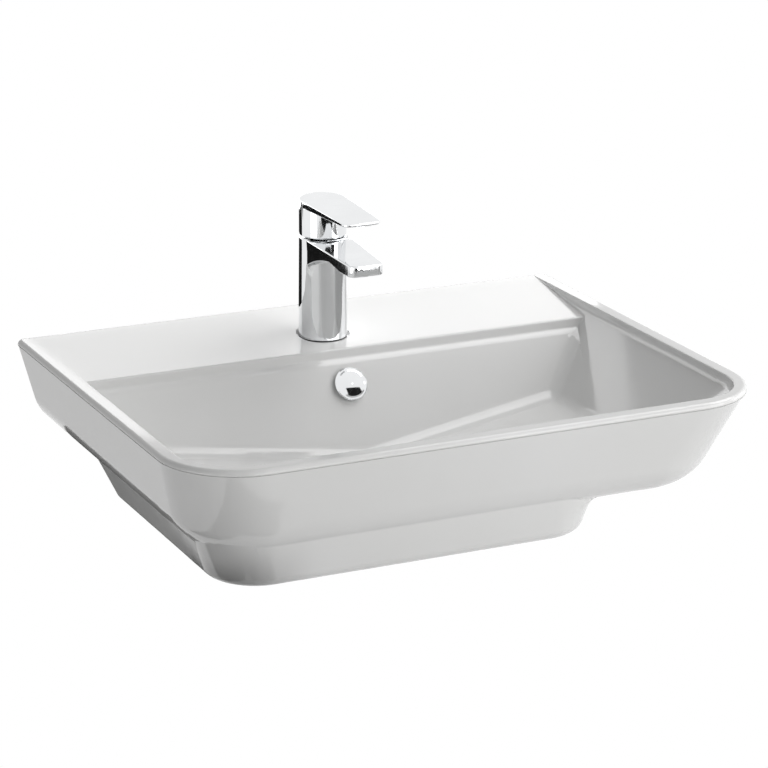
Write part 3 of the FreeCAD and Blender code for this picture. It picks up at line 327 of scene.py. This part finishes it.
# %% Make the finishes
FINISHES = {
    "glazed_ceramic": finish("white_glaze", (0.80, 0.80, 0.79), (0.83, 0.83, 0.825), (0.07, 0.12),
                             colour_scale=4, grain_scale=60, bump=0.00008, bump_scale=35),
    "chrome": finish("chrome_plate", (0.80, 0.81, 0.82), (0.84, 0.85, 0.86), (0.03, 0.07), metallic=1,
                     colour_scale=25, grain_scale=500),
    "brass": finish("turned_brass", (0.60, 0.44, 0.20), (0.72, 0.55, 0.28), (0.25, 0.38), metallic=1,
                    colour_scale=60, grain_scale=900, bump=0.00002, bump_scale=1500),
    "steel": finish("stainless_steel", (0.48, 0.49, 0.50), (0.60, 0.61, 0.62), (0.25, 0.40), metallic=1,
                    colour_scale=80, grain_scale=1200, bump=0.00001, bump_scale=2000),
    "rubber": finish("black_rubber", (0.025, 0.025, 0.025), (0.05, 0.05, 0.05), (0.6, 0.75),
                     colour_scale=120, bump=0.00003, bump_scale=1600),
    "grey_plastic": finish("grey_plastic", (0.22, 0.23, 0.24), (0.28, 0.29, 0.30), (0.35, 0.5),
                           colour_scale=90, bump=0.00002, bump_scale=2200),
    "white_plastic": finish("white_plastic", (0.70, 0.70, 0.68), (0.78, 0.78, 0.76), (0.3, 0.45),
                            colour_scale=90, bump=0.00002, bump_scale=2200),
    "disc_ceramic": finish("lapped_ceramic", (0.72, 0.71, 0.67), (0.80, 0.79, 0.76), (0.15, 0.25),
                           colour_scale=200, bump=0.00001, bump_scale=2500),
}
PLATED_NODES = ("cartridge_nut",)
for piece in frame["record"]["subparts"]:
    slot = "chrome" if piece["node"] in PLATED_NODES else piece["material_slot"]
    materials = bpy.data.objects[piece["node"]].data.materials
    materials.clear()
    materials.append(FINISHES[slot])
print("finishes:", ", ".join(sorted(FINISHES)))

# %% [markdown]
# ## Soft edges on the ceramic
# No edge of a glazed basin is sharp: the slip and the glaze round each one, and these
# rounds catch the light as thin bright lines along the rim. The solid has crisp edges. So
# a copy of it is merged, its flat faces are joined, and a Bevel modifier rounds the edges
# that carry a weight. The outer edge of the rim is the roundest one, so it gets a pass of
# its own before the other steep edges. A round on a narrow face can throw a point off the
# solid, so such points are brought back at the end.

# %% Round the edges of a copy of the ceramic
RIM_ROUND = 0.0042
RIM_SEGMENTS = 5
EDGE_ROUND = 0.0014
EDGE_SEGMENTS = 3
STRAY_REACH = RIM_ROUND / 2
STEEP = math.radians(35)
FLAT_ENOUGH = math.radians(0.5)
MERGE_DISTANCE = 1e-5
SIDE_LIMIT = 0.5  # a face whose normal rises less than this is a side
PAD_REACH = 0.045  # from the tap's middle to past the pad under it

tap_low, tap_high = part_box("mixer_base_seal")
tap_middle = (tap_low + tap_high) / 2


def merged_copy(node_name, piece_name):
    """A copy of a node's mesh with its points merged and its flat faces joined."""
    node = bpy.data.objects[node_name]
    bpy.ops.object.select_all(action="DESELECT")
    piece = bpy.data.objects.new(piece_name, node.data.copy())
    bpy.context.scene.collection.objects.link(piece)
    bpy.context.view_layer.objects.active = piece
    piece.select_set(True)
    bpy.ops.object.mode_set(mode="EDIT")
    bpy.ops.mesh.select_all(action="SELECT")
    bpy.ops.mesh.customdata_custom_splitnormals_clear()
    bpy.ops.mesh.remove_doubles(threshold=MERGE_DISTANCE)
    bpy.ops.mesh.dissolve_limited(angle_limit=FLAT_ENOUGH)
    bpy.ops.object.mode_set(mode="OBJECT")
    return piece


def mark_edges(piece, wanted):
    """Give full bevel weight to the edges that a test picks, none to the others, and count them."""
    mesh = bmesh.new()
    mesh.from_mesh(piece.data)
    weight = mesh.edges.layers.float.get("bevel_weight_edge")
    weight = weight or mesh.edges.layers.float.new("bevel_weight_edge")
    picked = {edge for edge in mesh.edges if len(edge.link_faces) == 2 and wanted(edge)}
    for edge in mesh.edges:
        edge[weight] = 1 if edge in picked else 0
    mesh.to_mesh(piece.data)
    mesh.free()
    return len(picked)


def is_outer_rim(edge):
    """An edge between the top of the rim and its outer face."""
    if min(vertex.co.z for vertex in edge.verts) < rim_top - MERGE_DISTANCE:
        return False
    side = min(edge.link_faces, key=lambda face: face.normal.z)
    return side.normal.z < SIDE_LIMIT and side.normal.dot(edge.verts[0].co - BASIN_MIDDLE) > 0


def is_steep(edge):
    """An edge whose two faces meet at a steep angle."""
    return edge.calc_face_angle() > STEEP


def is_steep_ceramic(edge):
    """A steep edge of the ceramic, but not of the pad that the tap covers."""
    from_tap = (edge.verts[0].co - tap_middle).to_2d().length
    return is_steep(edge) and from_tap > PAD_REACH


def round_edges(piece, width, segments):
    """Round the marked edges of a piece."""
    rounding = piece.modifiers.new("rounding", "BEVEL")
    rounding.limit_method = "WEIGHT"
    rounding.width = width
    rounding.segments = segments
    rounding.use_clamp_overlap = False
    bpy.ops.object.modifier_apply(modifier=rounding.name)


def keep_to_solid(piece, node_name, reach):
    """Bring stray points back to the solid's surface and every point into its box."""
    solid = bpy.data.objects[node_name].data
    corners = [vertex.co.copy() for vertex in solid.vertices]
    surface = BVHTree.FromPolygons(corners, [tuple(face.vertices) for face in solid.polygons])
    low = [min(corner[axis] for corner in corners) for axis in range(3)]
    high = [max(corner[axis] for corner in corners) for axis in range(3)]
    strays = 0
    for vertex in piece.data.vertices:
        nearest, _, _, distance = surface.find_nearest(vertex.co)
        if distance > reach:
            vertex.co = nearest
            strays += 1
        vertex.co = [min(max(vertex.co[axis], low[axis]), high[axis]) for axis in range(3)]
    return strays


def smooth_faces(piece):
    """Shade a piece smooth, with its flat faces kept flat."""
    bpy.ops.object.shade_smooth_by_angle(angle=STEEP)
    weighted = piece.modifiers.new("weighted", "WEIGHTED_NORMAL")
    weighted.keep_sharp = True
    bpy.ops.object.modifier_apply(modifier=weighted.name)


ceramic = merged_copy("basin", "glazed_basin")
print("edges of the outer rim:", mark_edges(ceramic, is_outer_rim))
round_edges(ceramic, RIM_ROUND, RIM_SEGMENTS)
print("other steep edges:", mark_edges(ceramic, is_steep_ceramic))
round_edges(ceramic, EDGE_ROUND, EDGE_SEGMENTS)
print("strays brought back:", keep_to_solid(ceramic, "basin", STRAY_REACH))
smooth_faces(ceramic)
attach(ceramic, "basin_set")
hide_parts("basin")
print("faces of the ceramic:", len(ceramic.data.polygons))

# %% [markdown]
# ## Soft edges on the tap
# The mixer and its lever are cast, ground and plated, so their edges are rounded too.
# Chrome shows an edge only as a thin line of another reflection, and without a round
# there the two faces would meet with no line at all.

# %% Round the edges of the mixer and the lever
# Each node's name, the body that it rides on and the width of its rounds.
TAP_ROUNDS = (
    ("mixer_body", "basin_set", 0.0012),
    ("lever_handle", "lever", 0.0009),
)
for node_name, body, width in TAP_ROUNDS:
    plated = merged_copy(node_name, "plated_" + node_name)
    mark_edges(plated, is_steep)
    round_edges(plated, width, EDGE_SEGMENTS)
    keep_to_solid(plated, node_name, width)
    smooth_faces(plated)
    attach(plated, body)
    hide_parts(node_name)
    print("faces of", plated.name, len(plated.data.polygons))

# %% [markdown]
# ## Colour management
# The Standard view shows colours as they are written.

# %% Finish the scene
bpy.context.scene.view_settings.view_transform = "Standard"
